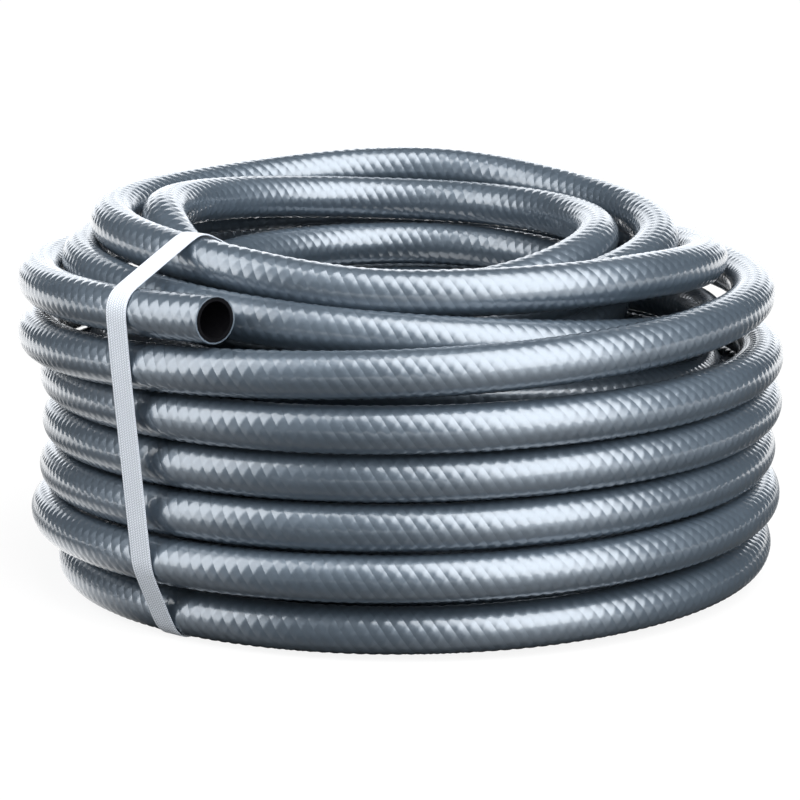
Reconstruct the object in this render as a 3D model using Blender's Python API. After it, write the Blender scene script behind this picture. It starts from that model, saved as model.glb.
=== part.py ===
"""A tied coil of garden hose: a grey outer tube, a black inner tube and a white woven band.

Metres, +Z up.  The coil stands on its flat underside at z = 0, with its bounding box centred
on the Z axis.  The front is -Y.  Turns are counted from the front, positive counter-clockwise
seen from above, so the hose passes the front at whole turns, the right side a quarter later,
the back at the half and the left side at three quarters.
"""

import math

import bmesh
import bpy
import numpy as np
from mathutils.geometry import convex_hull_2d

# Driving sizes ---------------------------------------------------------------------------

HOSE_DIAMETER = 0.0250          # outside of the outer tube
OUTER_WALL = 0.0023             # outer tube, from its outside to the corners of its bore
INNER_WALL = 0.0011             # inner tube, from its corners to the corners of its bore
TUBE_GAP = 0.0003               # between the flats of the two tubes

INNER_RADIUS = 0.1120           # centreline of the innermost layer
TURN_GAP = 0.0007               # between one turn and the turn that lies on it
LAYER_GAP = 0.0010              # between one layer and the layer around it
OUTER_LAYER = 3.0               # place of the outer layer, in steps out from the innermost

BAND_WIDTH = 0.0140
BAND_THICKNESS = 0.0008
BAND_GAP = 0.0006               # between the band and the hose it binds
BAND_LIFT = 0.0001              # between the band's underside and the floor
BAND_BEARING = math.radians(-40.3)   # from the front, at the band's middle height
BAND_MIDDLE = 0.0800            # height at which the band crosses its bearing
BAND_LEAN = math.radians(5.5)   # the band leans clockwise as it rises

FLAT_DEPTH = HOSE_DIAMETER / 10      # cut from the lowest turns, so that the coil stands

# Counts ----------------------------------------------------------------------------------

STEPS_PER_TURN = 18             # straight lengths that make up one turn
OUTER_SIDES = 6
BORE_SIDES = 4
FIRST_TURN = -18.024            # where the hidden end lies
LENGTHS = 431                   # straight lengths from the hidden end to the open end

# Worked out ------------------------------------------------------------------------------

HOSE_RADIUS = HOSE_DIAMETER / 2
TURN_RISE = HOSE_DIAMETER + TURN_GAP
LAYER_STEP = HOSE_DIAMETER + LAYER_GAP
FLOOR_HEIGHT = HOSE_RADIUS - FLAT_DEPTH          # centreline of a turn that lies on the floor
OUTER_BORE_RADIUS = HOSE_RADIUS - OUTER_WALL
INNER_TUBE_RADIUS = OUTER_BORE_RADIUS - TUBE_GAP / math.cos(math.pi / BORE_SIDES)
INNER_BORE_RADIUS = INNER_TUBE_RADIUS - INNER_WALL
BORE_OVERRUN = 0.002            # a bore's cutter passes both ends of its tube

# The route -------------------------------------------------------------------------------
# A mark is (turn, layer, level): how far round, how many layers out from the innermost, and
# how many turns up from the floor.  The marks of one layer repeat from turn to turn.


def second_layer_down():
    """The hidden start: layer 1 comes down in wide turns, then slides in along the floor."""
    wide = [(-18.1, 1.0, 3.9), (-17.0, 1.0, 1.8), (-16.75, 1.0, 1.4), (-16.5, 1.0, 0.95)]
    landing = [(-16.25, 1.0, 0.5), (-16.0, 1.0, 0.0), (-15.75, 0.84, 0.0), (-15.5, 0.47, 0.0)]
    return wide + landing + [(-15.25, 0.03, 0.0), (-15.0, 0.0, 0.1)]


def innermost_layer_up():
    """Six turns that lie level from back to front and climb from front to back."""
    marks = [(-14.75, 0.0, 0.6), (-14.5, 0.0, 1.0)]
    for turn in range(1, 6):
        at_left = turn - 15.25
        marks.append((at_left, 0.0, turn))
        marks.append((at_left + 0.25, 0.0, turn + 0.1))
        marks.append((at_left + 0.5, 0.0, turn + 0.6))
        if turn < 5:
            marks.append((at_left + 0.75, 0.0, turn + 1.0))
    return marks


def out_over_the_top():
    """Three and a half loose turns across the top, lower at the front, where the band pulls."""
    first = [(-9.5, 0.1, 6.0), (-9.25, -0.1, 6.0), (-9.0, -0.3, 6.1), (-8.75, -0.28, 6.85)]
    second = [(-8.5, 0.38, 6.98), (-8.25, 0.87, 7.33), (-8.125, 0.76, 6.35), (-8.0, 0.72, 5.8)]
    third = [(-7.875, 0.74, 6.3), (-7.75, 1.0, 6.78), (-7.625, 1.28, 7.15), (-7.5, 1.65, 7.56)]
    fourth = [(-7.375, 1.70, 7.35), (-7.25, 1.96, 7.25), (-7.125, 1.64, 6.95), (-7.0, 1.45, 6.52)]
    fifth = [(-6.875, 1.74, 6.56), (-6.75, 2.04, 6.37), (-6.625, 2.15, 6.14), (-6.5, 2.35, 6.62)]
    last = [(-6.375, 2.59, 6.57), (-6.25, 2.575, 6.475), (-6.0, 2.14, 5.77)]
    return first + second + third + fourth + fifth + last


def third_layer_down():
    """Five turns down to the floor, each under the last."""
    marks = [(-5.75, 2.05, 5.05)]
    for turn in range(5, 0, -1):
        if turn < 5:
            marks.append((-turn - 0.75, 2.0, turn))
        marks.append((-turn - 0.5, 2.0, turn + (0.02 if turn == 5 else 0.0)))
        marks.append((-turn - 0.25, 2.0, turn - 0.1))
        marks.append((-turn, 2.0, turn - 0.3))
    return marks


def outer_layer_up():
    """The six turns that show, and the open end; each has its own stand-out left and right."""
    marks = [(-0.75, 2.05, 0.0), (-0.5, 2.35, 0.0), (-0.25, 2.76, 0.0), (0.25, 3.07, 0.25)]
    stand_out_left = (0.33, 0.13, 0.05, 0.07, 0.53, 0.50)
    stand_out_right = (0.22, 0.11, 0.23, 0.23, 0.03)
    level_left = (1.03, 2.00, 2.995, 3.99, 4.88)     # pulled down by the band near by
    front = {4: (0.33, 4.185), 5: (0.28, 5.28)}
    top_turn_lift = 0.36
    for turn, (left, right) in enumerate(zip(stand_out_left, stand_out_right), start=1):
        marks.append((turn - 0.25, OUTER_LAYER + left, level_left[turn - 1]))
        if turn in front:
            marks.append((turn, OUTER_LAYER + front[turn][0], front[turn][1]))
        lift = top_turn_lift if turn == 5 else 0.0
        marks.append((turn + 0.25, OUTER_LAYER + right, turn + 0.39 + lift))
        if turn == 4:
            marks.append((turn + 0.5, OUTER_LAYER + 0.38, turn + 0.71))
    marks.append((5.75, OUTER_LAYER + stand_out_left[5], 6.05))
    marks.append((5.95, OUTER_LAYER + 0.38, 6.20))
    return marks


def smooth_through(stops, values):
    """A curve through every value that never swings past one (monotone cubic)."""
    gaps = np.diff(stops)
    rises = np.diff(values) / gaps
    slopes = np.zeros(len(stops))
    slopes[0], slopes[-1] = rises[0], rises[-1]
    for i in range(1, len(stops) - 1):
        if rises[i - 1] * rises[i] > 0:
            before = 2 * gaps[i] + gaps[i - 1]
            after = gaps[i] + 2 * gaps[i - 1]
            slopes[i] = (before + after) / (before / rises[i - 1] + after / rises[i])

    def curve(at):
        i = np.clip(np.searchsorted(stops, at) - 1, 0, len(stops) - 2)
        t = (at - stops[i]) / gaps[i]
        start = values[i] * (1 + 2 * t) * (1 - t) ** 2
        end = values[i + 1] * (3 - 2 * t) * t ** 2
        return start + end + gaps[i] * t * (1 - t) * ((1 - t) * slopes[i] - t * slopes[i + 1])

    return curve


def coil_route():
    """The centreline, as one point for each step round the coil."""
    marks = second_layer_down() + innermost_layer_up() + out_over_the_top()
    marks = np.array(marks + third_layer_down() + outer_layer_up())
    turns = FIRST_TURN + np.arange(LENGTHS + 1) / STEPS_PER_TURN
    radius = INNER_RADIUS + LAYER_STEP * smooth_through(marks[:, 0], marks[:, 1])(turns)
    height = FLOOR_HEIGHT + TURN_RISE * smooth_through(marks[:, 0], marks[:, 2])(turns)
    bearing = 2 * math.pi * turns
    route = np.column_stack((radius * np.sin(bearing), -radius * np.cos(bearing), height))
    middle = (route.min(axis=0) + route.max(axis=0)) / 2
    return route - (middle[0], middle[1], 0.0)


def least_gap(route, diameter, samples=5, apart=2.0):
    """Least gap between stretches of the tube more than some diameters apart along it."""
    steps = np.arange((len(route) - 1) * samples + 1) / samples
    lower = np.minimum(steps.astype(int), len(route) - 2)
    share = (steps - lower)[:, None]
    points = route[lower] * (1 - share) + route[lower + 1] * share
    along = np.concatenate(([0], np.cumsum(np.linalg.norm(np.diff(points, axis=0), axis=1))))
    least = math.inf
    for here, place in zip(along, points):
        far = np.abs(along - here) > apart * diameter
        least = min(least, np.linalg.norm(points[far] - place, axis=1).min())
    return least - diameter, along[-1]


# Building blocks -------------------------------------------------------------------------


def clear_scene():
    for thing in list(bpy.data.objects):
        bpy.data.objects.remove(thing, do_unlink=True)


def material(name, colour, roughness, metallic=0.0):
    finish = bpy.data.materials.new(name)
    finish.use_nodes = True
    shader = finish.node_tree.nodes["Principled BSDF"]
    shader.inputs["Base Color"].default_value = (*colour, 1.0)
    shader.inputs["Roughness"].default_value = roughness
    shader.inputs["Metallic"].default_value = metallic
    return finish


def add_object(name, mesh, finish=None):
    thing = bpy.data.objects.new(name, mesh)
    bpy.context.scene.collection.objects.link(thing)
    if finish:
        mesh.materials.append(finish)
    return thing


def mesh_from_rings(name, rings, closed=False):
    """A skin over rings of equally many points; its ends are capped unless it closes."""
    shape = bmesh.new()
    loops = [[shape.verts.new(point) for point in ring] for ring in rings]
    pairs = list(zip(loops, loops[1:]))
    if closed:
        pairs.append((loops[-1], loops[0]))
    for here, there in pairs:
        for i in range(len(here)):
            j = (i + 1) % len(here)
            shape.faces.new((here[i], here[j], there[j]))
            shape.faces.new((here[i], there[j], there[i]))
    if not closed:
        shape.faces.new(reversed(loops[0]))
        shape.faces.new(loops[-1])
    bmesh.ops.recalc_face_normals(shape, faces=shape.faces)
    mesh = bpy.data.meshes.new(name)
    shape.to_mesh(mesh)
    shape.free()
    return mesh


def tube_rings(route, radius, sides, first_corner, overrun=0.0):
    """Upright rings of corners square to the route, with a little more length at its ends."""
    ahead = np.gradient(route, axis=0)
    ahead[0], ahead[-1] = route[1] - route[0], route[-1] - route[-2]
    ahead /= np.linalg.norm(ahead, axis=1)[:, None]
    centres = route.copy()
    centres[0] -= overrun * ahead[0]
    centres[-1] += overrun * ahead[-1]
    across = np.cross(ahead, (0, 0, 1))
    across /= np.linalg.norm(across, axis=1)[:, None]
    up = np.cross(across, ahead)
    corners = first_corner + 2 * math.pi * np.arange(sides) / sides
    out = np.cos(corners)[:, None, None] * across + np.sin(corners)[:, None, None] * up
    return (centres + radius * out).transpose(1, 0, 2)


def tube_mesh(name, route, radius, sides, first_corner, overrun=0.0):
    return mesh_from_rings(name, tube_rings(route, radius, sides, first_corner, overrun))


def cut_away(target, cutter):
    """Takes the cutter's shape out of the target; the cutter is only a guide."""
    cutter.hide_render = True
    cutter.display_type = 'WIRE'
    cut = target.modifiers.new(cutter.name, 'BOOLEAN')
    cut.operation = 'DIFFERENCE'
    cut.solver = 'EXACT'
    cut.object = cutter


def box_object(name, along, across, size_low, size_high):
    """A box on two level directions and the vertical, between two corners given on them."""
    axes = np.array((along, across, (0, 0, 1)))
    low, high = np.array(size_low), np.array(size_high)
    ring = ((low[0], low[1]), (high[0], low[1]), (high[0], high[1]), (low[0], high[1]))
    rings = [[np.array((a, b, c)) @ axes for a, b in ring] for c in (low[2], high[2])]
    return add_object(name, mesh_from_rings(name, rings))


# The hose --------------------------------------------------------------------------------

CORNER_UP = math.pi / 2                     # outside: corners at the top and the bottom
FLAT_DOWN = math.pi / BORE_SIDES            # bores: a flat below, clear of the cut underside


def hollow_tube(name, route, radius, sides, first_corner, bore_radius, finish):
    tube = add_object(name, tube_mesh(name, route, radius, sides, first_corner), finish)
    bore_name = name + "_bore"
    bore = tube_mesh(bore_name, route, bore_radius, BORE_SIDES, FLAT_DOWN, BORE_OVERRUN)
    cut_away(tube, add_object(bore_name, bore))
    return tube


def add_outer_tube(route, band):
    finish = material("slate_grey_pvc", (0.105, 0.125, 0.150), 0.32, 0.25)
    sizes = (HOSE_RADIUS, OUTER_SIDES, CORNER_UP, OUTER_BORE_RADIUS)
    tube = hollow_tube("hose_outer_tube", route, *sizes, finish)
    reach = np.abs(route).max() + HOSE_DIAMETER
    floor = ((-reach, -reach, -HOSE_DIAMETER), (reach, reach, 0.0))
    cut_away(tube, box_object("floor_cut", (1, 0, 0), (0, 1, 0), *floor))
    low = (0.0, band.foot - BAND_WIDTH / 2 - BAND_GAP, -HOSE_DIAMETER)
    high = (reach, band.foot + BAND_WIDTH / 2 + BAND_GAP, BAND_LIFT + BAND_THICKNESS + BAND_GAP)
    cut_away(tube, box_object("band_groove", band.outward, band.across, low, high))
    return tube


def add_inner_tube(route):
    finish = material("black_inner_pvc", (0.012, 0.012, 0.013), 0.45)
    sizes = (INNER_TUBE_RADIUS, BORE_SIDES, FLAT_DOWN, INNER_BORE_RADIUS)
    return hollow_tube("hose_inner_tube", route, *sizes, finish)


# The band --------------------------------------------------------------------------------


class Band:
    """Where the band lies: a leaning plane through the coil's axis at the band's bearing."""

    outward = np.array((math.sin(BAND_BEARING), -math.cos(BAND_BEARING), 0.0))
    across = np.array((math.cos(BAND_BEARING), math.sin(BAND_BEARING), 0.0))
    lean = math.tan(BAND_LEAN)
    foot = lean * BAND_MIDDLE                # how far along across the band meets the floor

    def place(self, radius, height, sideways):
        """A point on the band, from its distance to the axis, its height and its width."""
        slide = self.foot - self.lean * height + sideways
        return radius * self.outward + slide * self.across + (0.0, 0.0, height)

    def hose_centres(self, route):
        """(radius, height) of every turn where it passes the band's edges and middle."""
        found = []
        for sideways in (-BAND_WIDTH / 2, 0.0, BAND_WIDTH / 2):
            past = route @ self.across + self.lean * route[:, 2] - self.foot - sideways
            for i in np.nonzero(past[:-1] * past[1:] < 0)[0]:
                share = past[i] / (past[i] - past[i + 1])
                point = route[i] * (1 - share) + route[i + 1] * share
                if point @ self.outward > 0:
                    found.append((point @ self.outward, point[2]))
        return found

    def outline(self, route):
        """The taut line round all the turns, held up off the floor underneath."""
        reach = HOSE_RADIUS + BAND_GAP + BAND_THICKNESS / 2
        facets = 2 * math.pi * np.arange(16) / 16
        around = [(r + reach * math.cos(a), h + reach * math.sin(a))
                  for r, h in self.hose_centres(route) for a in facets]
        lowest = BAND_LIFT + BAND_THICKNESS / 2
        taut = np.array([around[i] for i in convex_hull_2d(around)])
        taut[:, 1] = np.maximum(taut[:, 1], lowest)
        kept = [point for point, last in zip(taut, np.roll(taut, 1, axis=0))
                if np.linalg.norm(point - last) > BAND_THICKNESS]
        return np.array(kept)


def add_band(route, band):
    line = band.outline(route)
    ahead = np.roll(line, -1, axis=0) - np.roll(line, 1, axis=0)
    normal = np.column_stack((ahead[:, 1], -ahead[:, 0]))
    normal /= np.linalg.norm(normal, axis=1)[:, None]
    half_width, half_thickness = BAND_WIDTH / 2, BAND_THICKNESS / 2
    corners = ((-1, -1), (1, -1), (1, 1), (-1, 1))
    rings = []
    for centre, out in zip(line, normal):
        ring = []
        for sideways, outwards in corners:
            radius, height = centre + outwards * half_thickness * out
            height = max(height, BAND_LIFT)
            ring.append(band.place(radius, height, sideways * half_width))
        rings.append(ring)
    finish = material("white_woven_band", (0.80, 0.80, 0.84), 0.7)
    return add_object("tie_band", mesh_from_rings("tie_band", rings, closed=True), finish)


# The model -------------------------------------------------------------------------------


def main():
    clear_scene()
    route = coil_route()
    gap, length = least_gap(route, HOSE_DIAMETER)
    print(f"least gap of the hose to itself {gap * 1000:.2f} mm, length {length:.2f} m")
    band = Band()
    add_outer_tube(route, band)
    add_inner_tube(route)
    add_band(route, band)


main()
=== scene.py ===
"""Looks for a tied coil of garden hose: knit-relief cover, black liner and woven band."""

import math

import bpy
import numpy as np
from mathutils.geometry import convex_hull_2d
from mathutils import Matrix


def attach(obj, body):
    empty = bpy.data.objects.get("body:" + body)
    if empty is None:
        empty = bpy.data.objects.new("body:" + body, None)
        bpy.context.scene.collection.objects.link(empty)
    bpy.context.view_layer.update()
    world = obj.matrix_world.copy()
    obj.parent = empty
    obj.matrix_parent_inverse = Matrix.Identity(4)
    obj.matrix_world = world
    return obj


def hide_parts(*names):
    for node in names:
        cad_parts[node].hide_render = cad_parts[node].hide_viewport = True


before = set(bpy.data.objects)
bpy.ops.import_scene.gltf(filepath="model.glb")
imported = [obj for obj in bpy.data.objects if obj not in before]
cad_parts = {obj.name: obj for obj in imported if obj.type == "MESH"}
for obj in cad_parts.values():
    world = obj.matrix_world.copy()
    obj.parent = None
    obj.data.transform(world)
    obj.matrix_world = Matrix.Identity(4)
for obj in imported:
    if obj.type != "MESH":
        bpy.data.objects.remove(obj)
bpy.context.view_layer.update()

# Sizes, as in the part's source ----------------------------------------------------------------

HOSE_DIAMETER = 0.0250
HOSE_RADIUS = HOSE_DIAMETER / 2
INNER_RADIUS = 0.1120           # centreline of the innermost layer
TURN_GAP = 0.0007               # between one turn and the turn that lies on it
LAYER_GAP = 0.0010              # between one layer and the layer around it
TURN_RISE = HOSE_DIAMETER + TURN_GAP
LAYER_STEP = HOSE_DIAMETER + LAYER_GAP
OUTER_LAYER = 3.0               # place of the outer layer, in steps out from the innermost
FLAT_DEPTH = HOSE_DIAMETER / 10
FLOOR_HEIGHT = HOSE_RADIUS - FLAT_DEPTH
STEPS_PER_TURN = 18             # straight lengths that make up one turn in the solids
FIRST_TURN = -18.024            # where the hidden end lies
LENGTHS = 431                   # straight lengths from the hidden end to the open end

BAND_WIDTH = 0.0140
BAND_THICKNESS = 0.0008
BAND_LIFT = 0.0001              # between the band's underside and the floor
BAND_BEARING = math.radians(-40.3)   # from the front, at the band's middle height
BAND_MIDDLE = 0.0800            # height at which the band crosses its bearing
BAND_LEAN = math.radians(5.5)   # the band leans clockwise as it rises

# Sizes of the detail ---------------------------------------------------------------------------

ROUND_LIFT = FLAT_DEPTH         # the real hose is round underneath, so its turns lie higher
SUBSTEPS = 24                   # points of the smooth centreline to one straight length
LINE_SPREAD = 4                 # points over which the centreline's bends are evened out
COVER_WALL = 0.0010             # grey skin, as seen at the cut end
LINER_GAP = 0.00005             # between the grey skin and the black tube in it
BORE_RADIUS = 0.0095
CHAMFER = 0.0002
CUT_SLANT = math.tan(math.radians(16.0))
CUT_RINGS = 24                  # rings over which the slant of the cut runs in

CELL = 0.0064                   # length of one cell of the knit along the hose
CELLS_ROUND = 7
CUTS = 3                        # faces along each side of a cell
RINGS_PER_CELL = 2 * CUTS
SIDES = CELLS_ROUND * CUTS      # corners of one ring; every second ring is turned by half a side
RELIEF = 0.00046                # from the middle of the knit's cells down to its grooves
RELIEF_CHANGE = 0.15            # share by which that depth changes over the hose
CRISP, SOFT = 0.8, 1.4          # powers that shape the two sets of grooves
TWIST = 0.9                     # turns of the knit round the hose to each metre
BORE_EVERY = 12                 # one ring of the plain inner skins to so many of the relief

BAND_GAP = 0.0004               # less than the solids' band keeps
BAND_STEP = 0.00030             # between rings of faces along the band
BAND_CELLS = 40                 # faces across each side of the band
BAND_SPREAD = 11                # steps over which the band's bends are rounded
BAND_FACETS = 96                # places round the hose where the band may touch it
BAND_ROUNDING = 0.0006          # width over which the band thins at its edges
BAND_EDGE = 0.55                # share of its thickness that is left there
WEAVE_COLUMNS = 8
WEAVE_PERIOD = 0.0013           # length of one float and its gap
WEAVE_RELIEF = 0.00012
FLOAT_LIFT, COLUMN_LIFT = 0.5, 0.35     # shares of that relief
OVER_BAND = 0.012               # half the length over which the lowest turns stay off the band
OVER_BAND_FADE = 0.003          # part of it that runs out at either end
OVER_BAND_GAP = 0.0001          # between them and the band there


# The route, from the same marks as in the part's source ----------------------------------------


def second_layer_down():
    wide = [(-18.1, 1.0, 3.9), (-17.0, 1.0, 1.8), (-16.75, 1.0, 1.4), (-16.5, 1.0, 0.95)]
    landing = [(-16.25, 1.0, 0.5), (-16.0, 1.0, 0.0), (-15.75, 0.84, 0.0), (-15.5, 0.47, 0.0)]
    return wide + landing + [(-15.25, 0.03, 0.0), (-15.0, 0.0, 0.1)]


def innermost_layer_up():
    marks = [(-14.75, 0.0, 0.6), (-14.5, 0.0, 1.0)]
    for turn in range(1, 6):
        at_left = turn - 15.25
        marks.append((at_left, 0.0, turn))
        marks.append((at_left + 0.25, 0.0, turn + 0.1))
        marks.append((at_left + 0.5, 0.0, turn + 0.6))
        if turn < 5:
            marks.append((at_left + 0.75, 0.0, turn + 1.0))
    return marks


def out_over_the_top():
    first = [(-9.5, 0.1, 6.0), (-9.25, -0.1, 6.0), (-9.0, -0.3, 6.1), (-8.75, -0.28, 6.85)]
    second = [(-8.5, 0.38, 6.98), (-8.25, 0.87, 7.33), (-8.125, 0.76, 6.35), (-8.0, 0.72, 5.8)]
    third = [(-7.875, 0.74, 6.3), (-7.75, 1.0, 6.78), (-7.625, 1.28, 7.15), (-7.5, 1.65, 7.56)]
    fourth = [(-7.375, 1.70, 7.35), (-7.25, 1.96, 7.25), (-7.125, 1.64, 6.95), (-7.0, 1.45, 6.52)]
    fifth = [(-6.875, 1.74, 6.56), (-6.75, 2.04, 6.37), (-6.625, 2.15, 6.14), (-6.5, 2.35, 6.62)]
    last = [(-6.375, 2.59, 6.57), (-6.25, 2.575, 6.475), (-6.0, 2.14, 5.77)]
    return first + second + third + fourth + fifth + last


def third_layer_down():
    marks = [(-5.75, 2.05, 5.05)]
    for turn in range(5, 0, -1):
        if turn < 5:
            marks.append((-turn - 0.75, 2.0, turn))
        marks.append((-turn - 0.5, 2.0, turn + (0.02 if turn == 5 else 0.0)))
        marks.append((-turn - 0.25, 2.0, turn - 0.1))
        marks.append((-turn, 2.0, turn - 0.3))
    return marks


def outer_layer_up():
    marks = [(-0.75, 2.05, 0.0), (-0.5, 2.35, 0.0), (-0.25, 2.76, 0.0), (0.25, 3.07, 0.25)]
    stand_out_left = (0.33, 0.13, 0.05, 0.07, 0.53, 0.50)
    stand_out_right = (0.22, 0.11, 0.23, 0.23, 0.03)
    level_left = (1.03, 2.00, 2.995, 3.99, 4.88)     # pulled down by the band near by
    front = {4: (0.33, 4.185), 5: (0.28, 5.28)}
    top_turn_lift = 0.36
    for turn, (left, right) in enumerate(zip(stand_out_left, stand_out_right), start=1):
        marks.append((turn - 0.25, OUTER_LAYER + left, level_left[turn - 1]))
        if turn in front:
            marks.append((turn, OUTER_LAYER + front[turn][0], front[turn][1]))
        lift = top_turn_lift if turn == 5 else 0.0
        marks.append((turn + 0.25, OUTER_LAYER + right, turn + 0.39 + lift))
        if turn == 4:
            marks.append((turn + 0.5, OUTER_LAYER + 0.38, turn + 0.71))
    marks.append((5.75, OUTER_LAYER + stand_out_left[5], 6.05))
    marks.append((5.95, OUTER_LAYER + 0.38, 6.20))
    return marks


def smooth_through(stops, values):
    """A curve through every value that never swings past one (monotone cubic)."""
    gaps = np.diff(stops)
    rises = np.diff(values) / gaps
    slopes = np.zeros(len(stops))
    slopes[0], slopes[-1] = rises[0], rises[-1]
    for i in range(1, len(stops) - 1):
        if rises[i - 1] * rises[i] > 0:
            before = 2 * gaps[i] + gaps[i - 1]
            after = gaps[i] + 2 * gaps[i - 1]
            slopes[i] = (before + after) / (before / rises[i - 1] + after / rises[i])

    def curve(at):
        i = np.clip(np.searchsorted(stops, at) - 1, 0, len(stops) - 2)
        t = (at - stops[i]) / gaps[i]
        start = values[i] * (1 + 2 * t) * (1 - t) ** 2
        end = values[i + 1] * (3 - 2 * t) * t ** 2
        return start + end + gaps[i] * t * (1 - t) * ((1 - t) * slopes[i] - t * slopes[i + 1])

    return curve


def route_points(substeps):
    """(points of the centreline, middle of the coil's box as the part's source finds it)."""
    marks = second_layer_down() + innermost_layer_up() + out_over_the_top()
    marks = np.array(marks + third_layer_down() + outer_layer_up())

    def places(turns):
        radius = INNER_RADIUS + LAYER_STEP * smooth_through(marks[:, 0], marks[:, 1])(turns)
        height = FLOOR_HEIGHT + TURN_RISE * smooth_through(marks[:, 0], marks[:, 2])(turns)
        bearing = 2 * math.pi * turns
        return np.column_stack((radius * np.sin(bearing), -radius * np.cos(bearing), height))

    coarse = places(FIRST_TURN + np.arange(LENGTHS + 1) / STEPS_PER_TURN)
    middle = (coarse.min(axis=0) + coarse.max(axis=0)) / 2 * (1, 1, 0)
    fine = np.arange(LENGTHS * substeps + 1) / (STEPS_PER_TURN * substeps)
    return places(FIRST_TURN + fine) - middle + (0, 0, ROUND_LIFT), middle


def lengths_along(points):
    return np.concatenate(([0], np.cumsum(np.linalg.norm(np.diff(points, axis=0), axis=1))))


def eased(points, spread):
    """The same line with its corners in curvature softened; its ends stay where they are."""
    reach = 3 * spread
    weights = np.exp(-0.5 * (np.arange(-reach, reach + 1) / spread) ** 2)
    weights /= weights.sum()
    before = 2 * points[0] - points[reach:0:-1]
    after = 2 * points[-1] - points[-2:-reach - 2:-1]
    padded = np.vstack((before, points, after))
    return np.column_stack([np.convolve(padded[:, k], weights, "valid") for k in range(3)])


def evenly(points, step):
    """Points a whole number of steps apart along the line, with the last on its end."""
    along = lengths_along(points)
    count = int(along[-1] / step)
    at = along[-1] - step * np.arange(count, -1, -1)
    return np.column_stack([np.interp(at, along, points[:, k]) for k in range(3)])


def axes_along(points):
    ahead = np.gradient(points, axis=0)
    ahead /= np.linalg.norm(ahead, axis=1)[:, None]
    across = np.cross(ahead, (0, 0, 1))
    across /= np.linalg.norm(across, axis=1)[:, None]
    return ahead, across, np.cross(across, ahead)


# Mesh building ---------------------------------------------------------------------------------


def mesh_object(name, points, faces, uvs, material, sharp=None):
    """A smooth mesh of faces grouped by their number of corners, with one UV for each corner.

    sharp takes the two ends of every edge and says which edges stay crisp.
    """
    mesh = bpy.data.meshes.new(name)
    mesh.vertices.add(len(points))
    mesh.vertices.foreach_set("co", np.asarray(points, np.float32).ravel())
    sizes = np.concatenate([np.full(len(group), group.shape[1]) for group in faces])
    corners = np.concatenate([group.ravel() for group in faces]).astype(np.int32)
    mesh.loops.add(len(corners))
    mesh.loops.foreach_set("vertex_index", corners)
    mesh.polygons.add(len(sizes))
    mesh.polygons.foreach_set("loop_start", (np.cumsum(sizes) - sizes).astype(np.int32))
    layer = mesh.uv_layers.new(name="UVMap")
    flat_uvs = np.concatenate([uv.reshape(-1, 2) for uv in uvs])
    layer.uv.foreach_set("vector", flat_uvs.astype(np.float32).ravel())
    mesh.update(calc_edges=True)
    if sharp:
        ends = np.zeros(len(mesh.edges) * 2, np.int32)
        mesh.edges.foreach_get("vertices", ends)
        crisp = mesh.attributes.new("sharp_edge", "BOOLEAN", "EDGE")
        crisp.data.foreach_set("value", sharp(ends.reshape(-1, 2)))
    mesh.materials.append(material)
    mesh.polygons.foreach_set("use_smooth", np.ones(len(sizes), bool))
    thing = bpy.data.objects.new(name, mesh)
    bpy.context.scene.collection.objects.link(thing)
    return thing


def quads_between(rings, sides, start=0):
    """Corner numbers of the faces between rings that follow each other."""
    ring = np.arange(rings - 1)[:, None] * sides
    here = np.arange(sides)[None, :]
    after = (here + 1) % sides
    corners = (ring + here, ring + after, ring + sides + after, ring + sides + here)
    return np.stack(corners, axis=-1).reshape(-1, 4) + start


def uvs_between(along, sides):
    """UVs to match: round the tube from 0 to 1, and metres along it."""
    here = np.broadcast_to(np.arange(sides)[None, :] / sides, (len(along) - 1, sides))
    low = np.broadcast_to(along[:-1, None], here.shape)
    high = np.broadcast_to(along[1:, None], here.shape)
    step = 1 / sides
    corners = ((here, low), (here + step, low), (here + step, high), (here, high))
    return np.stack([np.stack(pair, axis=-1) for pair in corners], axis=-2).reshape(-1, 4, 2)


def rim_quads(outer, inner, turned=False):
    """Faces of a cut end, between its outer and inner ring, from their first corner numbers."""
    here = np.arange(SIDES)
    after = (here + 1) % SIDES
    quads = np.column_stack((outer + here, outer + after, inner + after, inner + here))
    return quads[:, ::-1] if turned else quads


class Hose:
    """Rings of the hose: every ring for the relief, every few for the skins inside."""

    def __init__(self):
        points, self.middle = route_points(SUBSTEPS)
        self.line = eased(points, LINE_SPREAD)
        step = CELL / RINGS_PER_CELL
        self.centres = evenly(self.line, step)
        if len(self.centres) % 2 == 0:
            self.centres = self.centres[1:]
        self.ahead, self.across, self.up = axes_along(self.centres)
        self.count = len(self.centres)
        self.along = np.arange(self.count) * step
        last = self.count - 1
        self.coarse = np.unique(np.r_[0:self.count:BORE_EVERY, last - CUT_RINGS:last + 1:2])
        self.slant = np.clip(np.arange(self.count) - (last - CUT_RINGS), 0, None) / CUT_RINGS

    def surface(self, rings, radius):
        """Points of the rings at a radius for each, slanted where the end is cut."""
        half_sides = 2 * np.arange(SIDES)[None, :] + (rings % 2)[:, None]
        angle = math.pi * half_sides / SIDES + 2 * math.pi * TWIST * self.along[rings][:, None]
        across, up = self.across[rings][:, None], self.up[rings][:, None]
        out = np.cos(angle)[..., None] * across + np.sin(angle)[..., None] * up
        points = self.centres[rings][:, None] + radius[..., None] * out
        inward = -radius * np.cos(angle)
        slide = CUT_SLANT * self.slant[rings][:, None] ** 2 * inward
        return points + slide[..., None] * self.ahead[rings][:, None]


def knit_relief(ring, half_side):
    """0 in the grooves of the knit, along two sets of helices, to 1 in the middle of its cells."""
    crisp = np.abs(np.sin(math.pi * (ring + half_side) / RINGS_PER_CELL))
    soft = np.abs(np.sin(math.pi * (ring - half_side) / RINGS_PER_CELL))
    return crisp ** CRISP * soft ** SOFT


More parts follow.
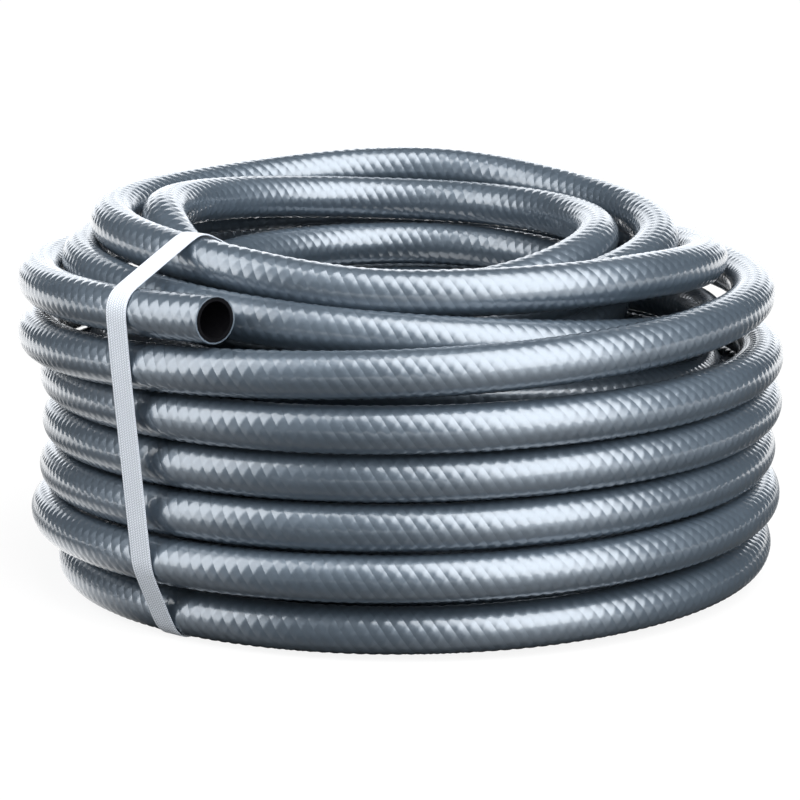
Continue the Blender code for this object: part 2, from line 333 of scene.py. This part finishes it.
def unevenness(ring, half_side):
    """A slow change over the hose, from -1 to 1."""
    turns = math.pi * half_side / SIDES
    waves = ((0.021, 0.7, 0), (0.063, 2.1, 1), (0.131, 4.4, 2), (0.23, 1.3, 1))
    return sum(np.sin(pace * ring + times * turns + phase) for pace, phase, times in waves) / 4


# Materials -------------------------------------------------------------------------------------

COVER_COLOURS = ((0.080, 0.116, 0.156), (0.094, 0.134, 0.178))
COVER_ROUGHNESS = (0.40, 0.44)
COVER_GRAIN = 0.02              # by which the roughness changes within a grain
LINER_COLOURS = ((0.002, 0.002, 0.003), (0.006, 0.006, 0.007))
LINER_ROUGHNESS = (0.46, 0.56)
BAND_PAINTED_SHADE_AND_WHITE = ((0.22, 0.26, 0.32), (0.86, 0.91, 0.98))     # painted shade between the threads, and the white on them
WEAVE_PAINTED_SHADE = (-1.2, 0.6, 0.0, 0.7)     # span of the weave's lift, and the share of the white there, so painted shade lies where the lift is low
THREAD_SHADE = 0.3                      # share that the noise of the threads adds
NOISE_SPAN = (0.3, 0.7)         # what a noise mostly stays within


class Nodes:
    """Short ways to add nodes to one tree."""

    def __init__(self, tree):
        self.tree = tree

    def node(self, kind, **settings):
        made = self.tree.nodes.new(kind)
        for key, value in settings.items():
            setattr(made, key, value)
        return made

    def feed(self, values, sockets):
        """Each value onto its socket: a link from another node's output, or a plain value."""
        for value, socket in zip(values, sockets):
            if isinstance(value, bpy.types.NodeSocket):
                self.tree.links.new(value, socket)
            else:
                socket.default_value = value

    def math(self, operation, *values):
        made = self.node("ShaderNodeMath", operation=operation)
        self.feed(values, made.inputs)
        return made.outputs[0]

    def vector(self, operation, *values):
        made = self.node("ShaderNodeVectorMath", operation=operation)
        self.feed(values, made.inputs)
        return made.outputs["Value" if operation == "LENGTH" else "Vector"]

    def place(self, kind):
        return self.node("ShaderNodeTexCoord").outputs[kind]

    def parts(self, vector):
        """The X, Y and Z of a vector."""
        split = self.node("ShaderNodeSeparateXYZ")
        self.feed((vector,), split.inputs)
        return split.outputs["X"], split.outputs["Y"], split.outputs["Z"]

    def noise(self, vector, scale, detail, roughness):
        made = self.node("ShaderNodeTexNoise")
        names = ("Vector", "Scale", "Detail", "Roughness")
        self.feed((vector, scale, detail, roughness), [made.inputs[name] for name in names])
        return made.outputs["Fac"]

    def span(self, value, low, high, to_low, to_high, way="LINEAR"):
        """The value's place between low and high, as the same place between two others."""
        made = self.node("ShaderNodeMapRange", interpolation_type=way)
        self.feed((value, low, high, to_low, to_high), made.inputs)
        return made.outputs[0]

    def mix(self, share, first, second):
        made = self.node("ShaderNodeMix", data_type="RGBA")
        sockets = (made.inputs["Factor"], made.inputs[6], made.inputs[7])
        self.feed((share, (*first, 1.0), (*second, 1.0)), sockets)
        return made.outputs[2]

    def bump(self, height, distance, strength):
        made = self.node("ShaderNodeBump")
        names = ("Height", "Distance", "Strength")
        self.feed((height, distance, strength), [made.inputs[name] for name in names])
        return made.outputs["Normal"]

    def plain(self, kind, **values):
        """A shader of its own, with the named sockets fed."""
        made = self.node(kind)
        self.feed(values.values(), [made.inputs[name] for name in values])
        return made.outputs[0]

    def blend(self, share, first, second):
        """The second shader by a share, and the first for the rest."""
        made = self.node("ShaderNodeMixShader")
        self.feed((share, first, second), made.inputs)
        return made.outputs[0]

    def by_ray(self, ray, others, for_ray):
        """One shader for one kind of ray, and another for every other."""
        return self.blend(self.node("ShaderNodeLightPath").outputs[ray], others, for_ray)


class Surface(Nodes):
    """The nodes of a new material."""

    def __init__(self, name):
        self.material = bpy.data.materials.new(name)
        self.material.use_nodes = True
        super().__init__(self.material.node_tree)
        self.shader = self.tree.nodes["Principled BSDF"]
        self.end = self.tree.nodes["Material Output"].inputs["Surface"]

    def finished(self, settings):
        """The material, once the shader's named sockets are fed."""
        self.feed(settings.values(), [self.shader.inputs[name] for name in settings])
        return self.material


def cover_material():
    """Pearly grey PVC: partly metal for its sheen, under a clear gloss."""
    nodes = Surface("slate_grey_pvc")
    place = nodes.place("Object")
    grain = nodes.noise(place, 900.0, 3.0, 0.6)
    blotch = nodes.noise(place, 22.0, 3.0, 0.55)
    rough = nodes.span(blotch, *NOISE_SPAN, *COVER_ROUGHNESS)
    rougher = nodes.span(grain, *NOISE_SPAN, -COVER_GRAIN, COVER_GRAIN)
    return nodes.finished({
        "Base Color": nodes.mix(nodes.span(blotch, *NOISE_SPAN, 0.0, 1.0), *COVER_COLOURS),
        "Roughness": nodes.math("ADD", rough, rougher),
        "Metallic": 0.52,
        "IOR": 1.85,
        "Specular IOR Level": 1.0,
        "Coat Weight": 1.0,
        "Coat Roughness": 0.10,
        "Coat IOR": 1.6,
        "Normal": nodes.bump(grain, 0.00002, 0.6),
    })


def liner_material():
    nodes = Surface("black_inner_pvc")
    grain = nodes.noise(nodes.place("Object"), 420.0, 2.0, 0.5)
    return nodes.finished({
        "Base Color": nodes.mix(grain, *LINER_COLOURS),
        "Roughness": nodes.span(grain, *NOISE_SPAN, *LINER_ROUGHNESS),
        "Specular IOR Level": 0.05,
        "Normal": nodes.bump(grain, 0.00006, 0.5),
    })


def band_material():
    """Painted shade between the threads, in step with weave(), and a random tone along them."""
    nodes = Surface("white_woven_band")
    thread = nodes.noise(nodes.place("Object"), 1800.0, 2.0, 0.6)
    round_band, along, _ = nodes.parts(nodes.place("UV"))
    columns_round = WEAVE_COLUMNS * (2 * BAND_CELLS + 2) / BAND_CELLS
    column = nodes.math("MULTIPLY", round_band, columns_round)
    inside = nodes.math("SUBTRACT", nodes.math("FRACT", column), 0.5)
    odd = nodes.math("GREATER_THAN", nodes.math("FRACT", nodes.math("MULTIPLY", column, 0.5)), 0.5)
    slant = nodes.math("MULTIPLY_ADD", odd, -1.0, 0.5)
    shift = nodes.math("MULTIPLY_ADD", inside, slant, nodes.math("MULTIPLY", odd, 0.5))
    phase = nodes.math("MULTIPLY_ADD", along, 1.0 / WEAVE_PERIOD, shift)
    floats = nodes.math("COSINE", nodes.math("MULTIPLY", phase, 2 * math.pi))
    columns = nodes.math("COSINE", nodes.math("MULTIPLY", inside, 2 * math.pi))
    lift = nodes.math("MULTIPLY_ADD", columns, COLUMN_LIFT / FLOAT_LIFT, floats)
    # painted shade in the weave's hollows, from its lift, with the threads' random tone added
    tone_and_painted_shade = nodes.math("MULTIPLY_ADD", thread, THREAD_SHADE, nodes.span(lift, *WEAVE_PAINTED_SHADE))
    return nodes.finished({
        "Base Color": nodes.mix(tone_and_painted_shade, *BAND_PAINTED_SHADE_AND_WHITE),
        "Roughness": 0.62,
        "Sheen Weight": 0.25,
        "Sheen Roughness": 0.5,
        "Normal": nodes.bump(thread, 0.00008, 0.6),
    })


# The band's line -------------------------------------------------------------------------------


class Band:
    """A leaning plane through the coil's axis at the band's bearing, as in the part's source."""

    outward = np.array((math.sin(BAND_BEARING), -math.cos(BAND_BEARING), 0.0))
    across = np.array((math.cos(BAND_BEARING), math.sin(BAND_BEARING), 0.0))
    lean = math.tan(BAND_LEAN)
    foot = lean * BAND_MIDDLE

    def place(self, radius, height, sideways):
        slide = self.foot - self.lean * height + sideways
        flat = radius[..., None] * self.outward + slide[..., None] * self.across
        return flat + height[..., None] * np.array((0.0, 0.0, 1.0))

    def past(self, points, sideways=0.0):
        return points @ self.across + self.lean * points[..., 2] - self.foot - sideways

    def hose_centres(self, route):
        found = []
        for sideways in (-BAND_WIDTH / 2, 0.0, BAND_WIDTH / 2):
            past = self.past(route, sideways)
            for i in np.nonzero(past[:-1] * past[1:] < 0)[0]:
                share = past[i] / (past[i] - past[i + 1])
                point = route[i] * (1 - share) + route[i + 1] * share
                if point @ self.outward > 0:
                    found.append((point @ self.outward, point[2]))
        return found

    def outline(self, route, step):
        """The taut line round all the turns, as evenly spaced (radius, height)."""
        reach = HOSE_RADIUS + BAND_GAP + BAND_THICKNESS / 2
        facets = 2 * math.pi * np.arange(BAND_FACETS) / BAND_FACETS
        around = [(r + reach * math.cos(a), h + reach * math.sin(a))
                  for r, h in self.hose_centres(route) for a in facets]
        taut = np.array([around[i] for i in convex_hull_2d(around)])
        taut[:, 1] = np.maximum(taut[:, 1], BAND_LIFT + BAND_THICKNESS / 2)
        loop = np.vstack((taut, taut[:1]))
        along = lengths_along(loop)
        count = int(round(along[-1] / step))
        at = along[-1] * np.arange(count) / count
        return np.column_stack([np.interp(at, along, loop[:, k]) for k in range(2)])


def softened(loop, spread):
    """A closed line with its corners rounded."""
    reach = 3 * spread
    weights = np.exp(-0.5 * (np.arange(-reach, reach + 1) / spread) ** 2)
    weights /= weights.sum()
    padded = np.vstack((loop[-reach:], loop, loop[:reach]))
    return np.column_stack([np.convolve(padded[:, k], weights, "valid") for k in range(2)])


# The pieces ------------------------------------------------------------------------------------


def cover_outside(hose, band, ring, half_side):
    """Points of the knitted face, with chamfered ends, and held off the band under the coil."""
    depth = RELIEF * (1 + RELIEF_CHANGE * unevenness(ring, half_side))
    radius = HOSE_RADIUS - depth * (1 - knit_relief(ring, half_side))
    fade = np.clip(np.minimum(ring, hose.count - 1 - ring) / 2.0, 0.0, 1.0)
    radius = radius * fade + (HOSE_RADIUS - CHAMFER) * (1 - fade)
    outside = hose.surface(ring[:, 0], radius)
    near = np.clip((OVER_BAND - np.abs(band.past(outside))) / OVER_BAND_FADE, 0.0, 1.0)
    low = BAND_LIFT + BAND_THICKNESS + OVER_BAND_GAP
    outside[..., 2] += near * (np.maximum(outside[..., 2], low) - outside[..., 2])
    return outside


def build_cover(hose, band):
    ring = np.arange(hose.count)[:, None]
    half_side = 2 * np.arange(SIDES)[None, :] + ring % 2
    outside = cover_outside(hose, band, ring, half_side)
    skin = np.full((len(hose.coarse), SIDES), HOSE_RADIUS - COVER_WALL)
    inside = hose.surface(hose.coarse, skin)
    points = np.vstack((outside.reshape(-1, 3), inside.reshape(-1, 3)))

    def number(rings, halves):
        return rings * SIDES + (halves % (2 * SIDES)) // 2

    def place(rings, halves):
        return np.stack((halves / (2 * SIDES), rings * hose.along[1]), axis=-1)

    r, h = np.broadcast_arrays(ring[:-2], half_side[:-2])
    diamond = ((r, h), (r + 1, h + 1), (r + 2, h), (r + 1, h - 1))
    quads = np.stack([number(*corner) for corner in diamond], axis=-1).reshape(-1, 4)
    quad_uvs = np.stack([place(*corner) for corner in diamond], axis=-2).reshape(-1, 4, 2)
    last = hose.count - 1
    ends, end_uvs = [], []
    for rim, step in ((0, 1), (last, -1)):
        halves = half_side[rim]
        corners = [(rim, halves), (rim, halves + 2), (rim + step, halves + 1)]
        corners = corners if step > 0 else corners[::-1]
        corners = [(np.broadcast_to(a, b.shape), b) for a, b in corners]
        ends.append(np.stack([number(*corner) for corner in corners], axis=-1))
        end_uvs.append(np.stack([place(*corner) for corner in corners], axis=-2))
    inner_start = hose.count * SIDES
    inner = quads_between(len(hose.coarse), SIDES, inner_start)[:, ::-1]
    inner_uvs = uvs_between(hose.along[hose.coarse], SIDES)[:, ::-1]
    inner_last = inner_start + (len(hose.coarse) - 1) * SIDES
    rims = np.vstack((rim_quads(0, inner_start, True), rim_quads(last * SIDES, inner_last)))
    quads = np.vstack((quads, inner, rims))
    quad_uvs = np.vstack((quad_uvs, inner_uvs, np.zeros((len(rims), 4, 2))))

    def sharp(edge):
        """The crisp grooves, and both edges of each cut end."""
        vertex_ring = edge // SIDES
        vertex_half = 2 * (edge % SIDES) + vertex_ring % 2
        in_groove = (vertex_ring + vertex_half) // 2 % CUTS == 0
        steps = vertex_ring[:, 1] - vertex_ring[:, 0]
        turned = (vertex_half[:, 1] - vertex_half[:, 0] + SIDES) % (2 * SIDES) - SIDES
        rising = steps * turned > 0
        groove = ~rising & in_groove.all(axis=1) & (edge < inner_start).all(axis=1)
        rim = (vertex_ring == 0).all(axis=1) | (vertex_ring == last).all(axis=1)
        rim |= (edge >= inner_last).all(axis=1)
        rim |= ((edge >= inner_start) & (edge < inner_start + SIDES)).all(axis=1)
        return groove & (steps != 0) | rim

    faces, uvs = (quads, *ends), (quad_uvs, *end_uvs)
    return mesh_object("knit_cover", points, faces, uvs, cover_material(), sharp)


def build_liner(hose):
    rings = hose.coarse
    shape = (len(rings), SIDES)
    outside = hose.surface(rings, np.full(shape, HOSE_RADIUS - COVER_WALL - LINER_GAP))
    inside = hose.surface(rings, np.full(shape, BORE_RADIUS))
    points = np.vstack((outside.reshape(-1, 3), inside.reshape(-1, 3)))
    inner_start, last = len(rings) * SIDES, (len(rings) - 1) * SIDES
    outer = quads_between(len(rings), SIDES)
    inner = quads_between(len(rings), SIDES, inner_start)[:, ::-1]
    rims = np.vstack((rim_quads(0, inner_start, True), rim_quads(last, inner_start + last)))
    faces = np.vstack((outer, inner, rims))
    uvs = uvs_between(hose.along[rings], SIDES)
    uvs = np.vstack((uvs, uvs[:, ::-1], np.zeros((len(rims), 4, 2))))

    def sharp(edge):
        around = edge // SIDES
        ends = (0, len(rings) - 1, len(rings), 2 * len(rings) - 1)
        return (around[:, 0] == around[:, 1]) & np.isin(around[:, 0], ends)

    return mesh_object("water_liner", points, (faces,), (uvs,), liner_material(), sharp)


def weave(along, sideways):
    """Short slanting floats in columns, each slanting against its neighbours."""
    column = sideways / BAND_WIDTH * WEAVE_COLUMNS
    whole = np.floor(column)
    slant = np.where(whole % 2 == 0, 1.0, -1.0)
    inside = column - whole - 0.5
    phase = along / WEAVE_PERIOD + 0.5 * slant * inside + 0.5 * (whole % 2)
    return FLOAT_LIFT * np.cos(2 * math.pi * phase) + COLUMN_LIFT * np.cos(2 * math.pi * inside)


def build_band(band, hose):
    line = softened(band.outline(hose.line, BAND_STEP), BAND_SPREAD)
    ahead = np.roll(line, -1, axis=0) - np.roll(line, 1, axis=0)
    normal = np.column_stack((ahead[:, 1], -ahead[:, 0]))
    normal /= np.linalg.norm(normal, axis=1)[:, None]
    count = len(line)
    along = np.arange(count) * BAND_STEP
    across = np.linspace(-0.5, 0.5, BAND_CELLS + 1) * BAND_WIDTH
    sideways = np.concatenate((across, across[::-1]))
    face = np.concatenate((np.ones(BAND_CELLS + 1), -np.ones(BAND_CELLS + 1)))
    relief = WEAVE_RELIEF * weave(along[:, None], sideways[None, :] + BAND_WIDTH / 2)
    edge = np.clip((BAND_WIDTH / 2 - np.abs(sideways)) / BAND_ROUNDING, 0.0, 1.0)
    body = BAND_THICKNESS / 2 * (BAND_EDGE + (1 - BAND_EDGE) * np.sqrt(edge))
    offset = face[None, :] * (body[None, :] + relief * edge[None, :])
    radius = line[:, :1] + offset * normal[:, :1]
    height = np.maximum(line[:, 1:] + offset * normal[:, 1:], BAND_LIFT / 2)
    points = band.place(radius, height, np.broadcast_to(sideways[None, :], radius.shape))
    sides = len(sideways)
    quads = quads_between(count + 1, sides) % (count * sides)
    uvs = uvs_between(np.arange(count + 1) * BAND_STEP, sides)
    return mesh_object("woven_band", points.reshape(-1, 3), (quads,), (uvs,), band_material())


# Stage, light and camera -----------------------------------------------------------------------

BACKDROP = 2.2                  # brightness of the backdrop in reflections
BACKDROP_FROM = (0.82, 0.93)    # how far behind a direction points where the backdrop begins
BACKDROP_RISE = 0.05            # added to that by a direction straight up
ROOM = (0.05, 0.08)             # light of the room, in front and behind
ROOM_COLOUR = (0.93, 0.96, 1.0, 1.0)
WHITE = (1.0, 1.0, 1.0, 1.0)

FLOOR_HALF = 8.0
FLOOR_COLOUR = (0.05, 0.05, 0.05, 1.0)      # as it lights the object
PAPER_COLOUR = (0.9, 0.9, 0.9, 1.0)         # as the camera sees it in the object's shadow
PAPER_WHITE = 1.02                          # and elsewhere
PAINTED_GLOW = 1.7                      # brightness of the floor's painted glow, pools of light seen only in reflections

# Directions on the floor, as shares of right and back
BEHIND = (-0.25, 1.0)
BESIDE = (-0.2, 1.0)
AHEAD = (0.66, -0.75)           # towards the key lamp

# Shares by a distance on the floor: where the change starts and ends, and the share at both
WHITE_BY_FAR = (0.25, 0.55, 0.86, 1.0)      # plain white to the camera, by distance all round
GLOW_BY_BEHIND = (0.20, 0.60, 0.0, 1.0)
GLOW_BY_AHEAD = (0.28, 1.1, 0.0, 0.75)
GLOW_BY_FAR = (0.24, 0.34, 0.8, 0.0)        # close by at the left
GLOW_BY_BESIDE = (-0.11, -0.02, 0.0, 1.0)   # times this

LAMP_SQUEEZE = (1.0, 0.6, 0.0)  # the bright middle of a lamp is taller than it is wide
LAMP_FALL = (0.15, 0.60, 1.0, 0.16)     # brightness, from its middle to its rim
LAMP_AIM = (0.0, 0.0, 0.10)


def build_floor():
    """Smooth and dark, but white with a soft shadow to the camera.

    In reflections it glows with painted pools of light behind the object, close by at its
    left, and ahead of it, away towards the key lamp.
    """
    mesh = bpy.data.meshes.new("floor")
    corners = ((-1, -1), (1, -1), (1, 1), (-1, 1))
    mesh.from_pydata([(x * FLOOR_HALF, y * FLOOR_HALF, 0) for x, y in corners], [], [(0, 1, 2, 3)])
    nodes = Surface("studio_floor")
    place = nodes.place("Object")
    right, back, _ = nodes.parts(place)

    def towards(direction):
        sideways = nodes.math("MULTIPLY", right, direction[0])
        return nodes.math("MULTIPLY_ADD", back, direction[1], sideways)

    far = nodes.vector("LENGTH", place)
    on_left = nodes.math("LESS_THAN", right, 0.0)
    close = nodes.math("MULTIPLY", nodes.span(far, *GLOW_BY_FAR), on_left)
    close = nodes.math("MULTIPLY", close, nodes.span(towards(BESIDE), *GLOW_BY_BESIDE))
    painted_glow_share = nodes.math("MAXIMUM", nodes.span(towards(BEHIND), *GLOW_BY_BEHIND), close)
    painted_glow_share = nodes.math("MAXIMUM", painted_glow_share, nodes.span(towards(AHEAD), *GLOW_BY_AHEAD))
    dark = nodes.shader.outputs[0]
    # painted light: where this share is high the floor glows in reflections, as a pool of light
    painted_glow = nodes.blend(painted_glow_share, dark, nodes.plain("ShaderNodeEmission", Strength=PAINTED_GLOW))
    seen = nodes.blend(nodes.span(far, *WHITE_BY_FAR),
                       nodes.plain("ShaderNodeBsdfDiffuse", Color=PAPER_COLOUR),
                       nodes.plain("ShaderNodeEmission", Strength=PAPER_WHITE))
    shader = nodes.by_ray("Is Camera Ray", nodes.by_ray("Is Glossy Ray", dark, painted_glow), seen)
    nodes.feed((shader,), (nodes.end,))
    settings = {"Base Color": FLOOR_COLOUR, "Roughness": 0.35, "Specular IOR Level": 1.0}
    mesh.materials.append(nodes.finished(settings))
    floor = bpy.data.objects.new("floor", mesh)
    bpy.context.scene.collection.objects.link(floor)


def build_world():
    """White to the camera, a narrow bright backdrop in reflections, and otherwise a dim room."""
    world = bpy.data.worlds.new("studio")
    bpy.context.scene.world = world
    world.use_nodes = True
    world.node_tree.nodes.clear()
    nodes = Nodes(world.node_tree)
    _, back, up = nodes.parts(nodes.place("Generated"))
    behind = nodes.math("MULTIPLY_ADD", up, BACKDROP_RISE, back)

    def background(front, rear):
        strength = nodes.span(behind, *BACKDROP_FROM, front, rear, "SMOOTHSTEP")
        return nodes.plain("ShaderNodeBackground", Color=ROOM_COLOUR, Strength=strength)

    shader = nodes.by_ray("Is Glossy Ray", background(*ROOM), background(ROOM[0], BACKDROP))
    white = nodes.plain("ShaderNodeBackground", Color=WHITE)
    shader = nodes.by_ray("Is Camera Ray", shader, white)
    nodes.feed((shader,), nodes.node("ShaderNodeOutputWorld").inputs)


def add_light(name, azimuth, elevation, distance, size, strength):
    """A soft box at an azimuth right of the camera's side, brightest in its middle.

    Its strength is its radiance there, with 1 for white.
    """
    lamp = bpy.data.lights.new(name, "AREA")
    lamp.shape = "RECTANGLE"
    lamp.size, lamp.size_y = size
    lamp.energy = strength * math.pi * size[0] * size[1]
    lamp.use_nodes = True
    nodes = Nodes(lamp.node_tree)
    spot = nodes.node("ShaderNodeNewGeometry").outputs["Parametric"]
    offset = nodes.vector("SUBTRACT", spot, (0.5, 0.5, 0.0))
    far = nodes.vector("LENGTH", nodes.vector("MULTIPLY", offset, LAMP_SQUEEZE))
    strength_socket = nodes.tree.nodes["Emission"].inputs["Strength"]
    nodes.feed((nodes.span(far, *LAMP_FALL, "SMOOTHSTEP"),), (strength_socket,))
    light = bpy.data.objects.new(name, lamp)
    bpy.context.scene.collection.objects.link(light)
    az, el = math.radians(azimuth), math.radians(elevation)
    way = np.array((math.sin(az) * math.cos(el), -math.cos(az) * math.cos(el), math.sin(el)))
    light.location = way * distance + np.array(LAMP_AIM)
    light.rotation_euler = (math.pi / 2 - el, 0.0, az)


CAMERA_DISTANCE = 1.70
CAMERA_ELEVATION = math.radians(11.47)
TARGET_HEIGHT = 0.0949
FOCAL_PIXELS, IMAGE_PIXELS, SHIFT_PIXELS = 3035.0, 800.0, -7.9
SENSOR = 36.0


def build_camera(middle):
    data = bpy.data.cameras.new("camera")
    data.sensor_width = SENSOR
    data.lens = SENSOR * FOCAL_PIXELS / IMAGE_PIXELS
    data.shift_x = SHIFT_PIXELS / IMAGE_PIXELS
    camera = bpy.data.objects.new("camera", data)
    bpy.context.scene.collection.objects.link(camera)
    back = CAMERA_DISTANCE * math.cos(CAMERA_ELEVATION)
    rise = CAMERA_DISTANCE * math.sin(CAMERA_ELEVATION)
    camera.location = (-middle[0], -middle[1] - back, TARGET_HEIGHT + rise)
    camera.rotation_euler = (math.pi / 2 - CAMERA_ELEVATION, 0.0, 0.0)
    bpy.context.scene.camera = camera


# The scene -------------------------------------------------------------------------------------

hose = Hose()
band = Band()
build_camera(hose.middle)
build_floor()
build_world()
add_light("key", azimuth=41.0, elevation=40.0, distance=3.2, size=(4.1, 8.4), strength=5.0)
add_light("left_strip", azimuth=-70.0, elevation=30.0, distance=1.5, size=(1.1, 2.2), strength=3.9)

cover = build_cover(hose, band)
liner = build_liner(hose)
tie = build_band(band, hose)

for piece, node, slot in ((cover, "hose_outer_tube", "slate_grey_pvc"),
                          (liner, "hose_inner_tube", "black_inner_pvc"),
                          (tie, "tie_band", "white_woven_band")):
    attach(piece, "root")
    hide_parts(node)

bpy.context.scene.view_settings.view_transform = "Standard"
